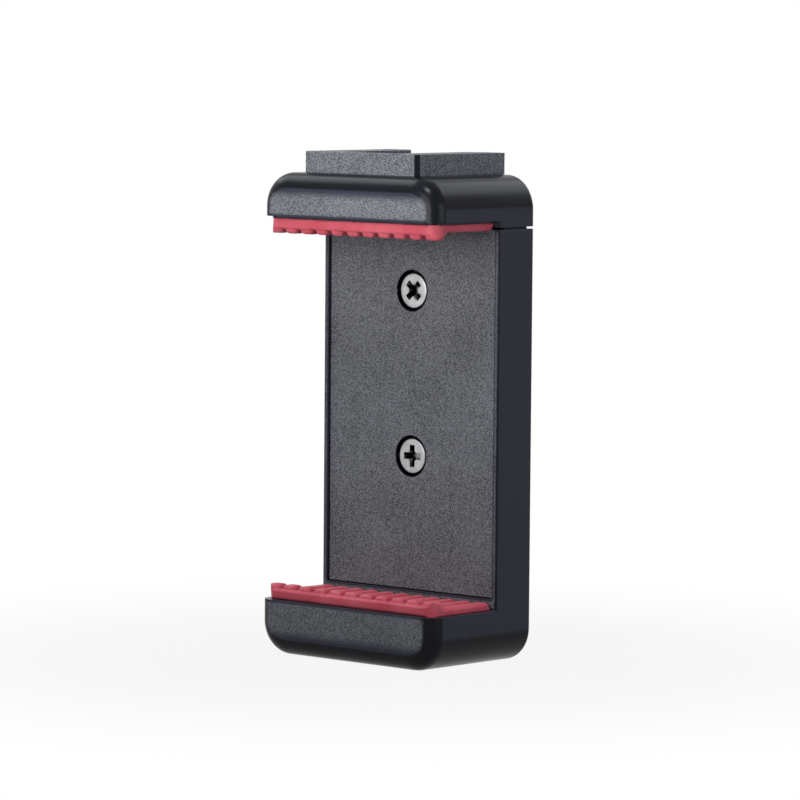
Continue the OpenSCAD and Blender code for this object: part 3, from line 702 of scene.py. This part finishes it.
def cover_screw(name, node, turn):
    low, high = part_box(node)
    size = (high - low) / MM
    head_r = size.x / 2 + HEAD_MARGIN
    head_h = HEAD_HEIGHT
    shank_r = COVER_SHANK_RADIUS
    crown = HEAD_CROWN
    profile = [(0, 0, 0), (head_r - crown - 0.6, -0.02, 0)]
    profile += arc_profile((head_r - crown, -crown), crown, 84, 0)
    profile += [(head_r, -head_h + 0.1, 0), (head_r - 0.1, -head_h, 0), (shank_r, -head_h, 0)]
    profile += threaded(shank_r, 0.28, COVER_PITCH, -size.y + 0.6, -head_h - 0.4)
    profile += [(0.7, -size.y + 0.1, 0), (0.55, -size.y, 0), (0, -size.y, 0)]
    piece = new_piece(name, turned(profile, pitch=COVER_PITCH), screw_steel)
    cut_cross(piece, 0, 4.1, 1.2, 1.5, turn)
    middle = (low + high) / 2
    piece.data.transform(
        Matrix.Translation((middle.x, low.y, middle.z)) @ Matrix.Rotation(radians(90), 4, "X")
    )
    stand_for(piece, node)


cover_screw("panhead_screw_upper", "cover_screw_upper", 45)
cover_screw("panhead_screw_lower", "cover_screw_lower", 0)


# %% Countersunk screws
SMALL_SHANK_RADIUS = 1.1
SMALL_PITCH = 0.9


def countersunk_screw(name, node, head_up, turn):
    low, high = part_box(node)
    size = (high - low) / MM
    head_r = size.x / 2
    shank_r = SMALL_SHANK_RADIUS
    cone = head_r - shank_r
    profile = [(0, 0, 0), (head_r - 0.25, 0, 0), (head_r, -0.08, 0), (shank_r, -cone - 0.08, 0)]
    profile += threaded(shank_r, 0.22, SMALL_PITCH, -size.z + 0.5, -cone - 0.4)
    profile += [(0.5, -size.z + 0.1, 0), (0.35, -size.z, 0), (0, -size.z, 0)]
    piece = new_piece(name, turned(profile, pitch=SMALL_PITCH), screw_steel)
    cut_cross(piece, 0, 2.6, 0.72, 1.0, turn)
    middle = (low + high) / 2
    flip = Matrix.Identity(4) if head_up else Matrix.Rotation(radians(180), 4, "X")
    top = high.z if head_up else low.z
    piece.data.transform(Matrix.Translation((middle.x, middle.y, top)) @ flip)
    stand_for(piece, node)


for place, turn in (("left", 12), ("right", 58)):
    countersunk_screw(f"plate_screw_{place}", f"lower_plate_screw_{place}", True, turn)
    countersunk_screw(f"slide_screw_{place}", f"tongue_screw_{place}", False, turn + 20)
for place, turn in (("front", 30), ("rear", 74)):
    countersunk_screw(f"countersunk_shoe_screw_{place}", f"shoe_screw_{place}", True, turn)

# %% [markdown]
# ## Springs
# Each extension spring is one wire: a hook round the lower post, a close coil and a hook round
# the upper post. The route is worked out point by point and swept with a round section. The coil
# joins two bodies, but the wire is placed between its posts and tied to neither.

# %% Spring route
WIRE = 0.6
COIL_RADIUS = 1.7
HOOK_RADIUS = 1.5
COIL_TURNS = 16.75
HOOK_TURN = 320
COIL_START = 225
COIL_RISE = 0.7
STEPS_PER_TURN = 28


def ring_point(angle):
    return Vector((HOOK_RADIUS * cos(radians(angle)), 0, HOOK_RADIUS * sin(radians(angle))))


def coil_point(angle, height):
    return Vector((COIL_RADIUS * cos(radians(angle)), COIL_RADIUS * sin(radians(angle)), height))


def bezier(points, t):
    weights = ((1 - t) ** 3, 3 * (1 - t) ** 2 * t, 3 * (1 - t) * t ** 2, t ** 3)
    return sum((point * weight for point, weight in zip(points, weights)), Vector())


def spring_route(length):
    start_z = HOOK_RADIUS + COIL_RISE
    tangent = Vector((-sin(radians(COIL_START)), cos(radians(COIL_START)), 0))
    foot = coil_point(COIL_START, start_z)
    curve = [
        ring_point(90), ring_point(90) - Vector((COIL_RADIUS * 0.7, 0, 0)),
        foot - tangent * COIL_RADIUS * 0.5 - Vector((0, 0, COIL_RISE / 4)), foot,
    ]
    hook = [ring_point(90 - HOOK_TURN * (1 - step / 36)) for step in range(37)]
    hook += [bezier(curve, step / 10) for step in range(1, 10)]
    count = round(COIL_TURNS * STEPS_PER_TURN)
    rise = length - 2 * start_z
    coil = [
        coil_point(COIL_START + COIL_TURNS * 360 * step / count, start_z + rise * step / count)
        for step in range(count + 1)
    ]
    top = [Vector((p.x, -p.y, length - p.z)) for p in reversed(hook)]
    return hook + coil + top


# %% Swept wire
def swept(route, radius, around=12):
    """A tube along the route, in millimetres, whose section is carried along without twisting."""
    bm = bmesh.new()
    side = Vector((0, 1, 0))
    rings = []
    for index, point in enumerate(route):
        ahead = route[min(index + 1, len(route) - 1)] - route[max(index - 1, 0)]
        ahead.normalize()
        side = (side - ahead * side.dot(ahead)).normalized()
        other = ahead.cross(side)
        turns = [tau * step / around for step in range(around)]
        rings.append(
            [bm.verts.new((point + (side * cos(t) + other * sin(t)) * radius) * MM) for t in turns]
        )
    for lower, upper in zip(rings, rings[1:]):
        for step in range(around):
            far = (step + 1) % around
            bm.faces.new((lower[step], lower[far], upper[far], upper[step]))
    bm.faces.new(rings[0][::-1])
    bm.faces.new(rings[-1])
    bmesh.ops.recalc_face_normals(bm, faces=bm.faces)
    return bm


def build_spring(name, node):
    low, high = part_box(node)
    middle = (low + high) / 2
    reach = (HOOK_RADIUS + WIRE / 2) * MM
    foot_z, head_z = low.z + reach, high.z - reach
    length = (head_z - foot_z) / MM
    piece = new_piece(name, swept(spring_route(length), WIRE / 2), spring_steel)
    piece.data.transform(Matrix.Translation((middle.x, middle.y, foot_z)))
    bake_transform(piece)
    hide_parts(node)
    print(name, "is", round(length, 1), "mm between its posts")


build_spring("pull_spring_left", "spring_left")
build_spring("pull_spring_right", "spring_right")

# %% [markdown]
# ## Tripod nut
# The nut is a brass hexagon with a round collar that shows in the base, and a quarter inch
# thread of 20 turns to the inch inside. A turned rod with the same thread is cut out of it.

# %% Nut
THREAD_PITCH = 1.27
THREAD_RADIUS = 3.175
THREAD_DEPTH = 0.625
COLLAR_RADIUS = 4.5
COLLAR_HEIGHT = 1.7
COLLAR_OVERLAP = 0.4


def build_nut():
    low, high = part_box("tripod_nut")
    size = (high - low) / MM
    hex_r = size.x / 2
    hex_h = size.z - COLLAR_HEIGHT
    collar_h = COLLAR_HEIGHT + COLLAR_OVERLAP
    bm = bmesh.new()
    bmesh.ops.create_cone(
        bm, cap_ends=True, segments=6, radius1=hex_r * MM, radius2=hex_r * MM, depth=hex_h * MM,
        matrix=Matrix.Translation((0, 0, (COLLAR_HEIGHT + hex_h / 2) * MM)),
    )
    bmesh.ops.create_cone(
        bm, cap_ends=True, segments=64, radius1=COLLAR_RADIUS * MM, radius2=COLLAR_RADIUS * MM,
        depth=collar_h * MM, matrix=Matrix.Translation((0, 0, collar_h / 2 * MM)),
    )
    piece = new_piece("threaded_nut", bm, brass, smooth=False)
    bore = THREAD_RADIUS - THREAD_DEPTH
    rod = [(0, -1, 0), (bore + 1.1, -1, 0), (bore + 0.6, 0, 0), (bore, 0.6, 0)]
    rod += list(reversed(threaded(THREAD_RADIUS, THREAD_DEPTH, THREAD_PITCH, 0.7, size.z + 0.9, 10)))
    rod += [(0, size.z + 1, 0)]
    cut_away(piece, new_piece("cutter", turned(rod, pitch=THREAD_PITCH), brass))
    break_edges(piece, 0.12, steeper_than=50, sharp_above=30)
    middle = (low + high) / 2
    piece.data.transform(Matrix.Translation((middle.x, middle.y, low.z)))
    stand_for(piece, "tripod_nut")


build_nut()

# %% End
print("scene script finished")
